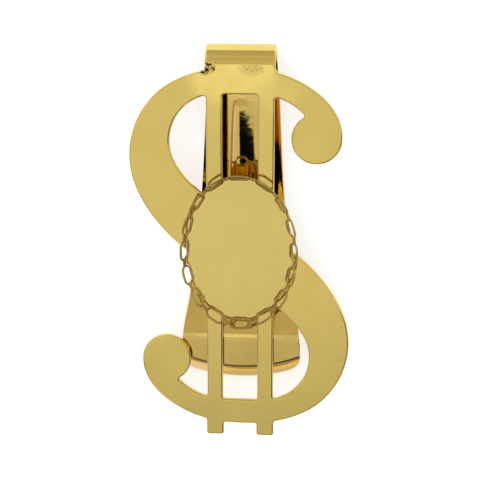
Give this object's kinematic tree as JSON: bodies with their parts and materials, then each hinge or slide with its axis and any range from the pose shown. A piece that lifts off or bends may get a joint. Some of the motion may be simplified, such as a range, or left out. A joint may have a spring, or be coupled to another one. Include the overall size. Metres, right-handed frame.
{
  "type": "money clip",
  "caption": "Gold-plated money clip: a dollar-sign front plate bent over a sprung bow into a back tongue, with an oval lace-edge cabochon cup on the front.",
  "frame": {"origin": "on the surface the clip lies on, under the middle of the whole clip's box, with the tongue down", "axes": "+Z out of the front plate, up from the tongue; +Y along the clip towards the sprung bow; +X to the right of the dollar sign as it is read"},
  "size_m": [0.0382, 0.0698, 0.0096],
  "materials": {
    "polished_gold": "gold plated and mirror polished",
    "cup_gold": "gold plated, bright stamped floor",
    "lace_gold": "gold plated wire",
    "solder": "gold plated over solder"
  },
  "bodies": {
    "tongue": {"back_tongue": "polished_gold", "spring_bend": "polished_gold"},
    "plate": {"dollar_plate": "polished_gold", "setting_base": "cup_gold", "lace_edge": "lace_gold", "solder_joints": "solder"}
  },
  "joints": [
    {"name": "bow_flex", "type": "hinge", "parent": "tongue", "child": "plate", "pos_m": [0, 0.0316, 0.0033], "axis": [-1, 0, 0], "range_deg": [0, 7], "stiffness_Nm_per_rad": 2.5, "deforming": ["spring_bend"]}
  ]
}
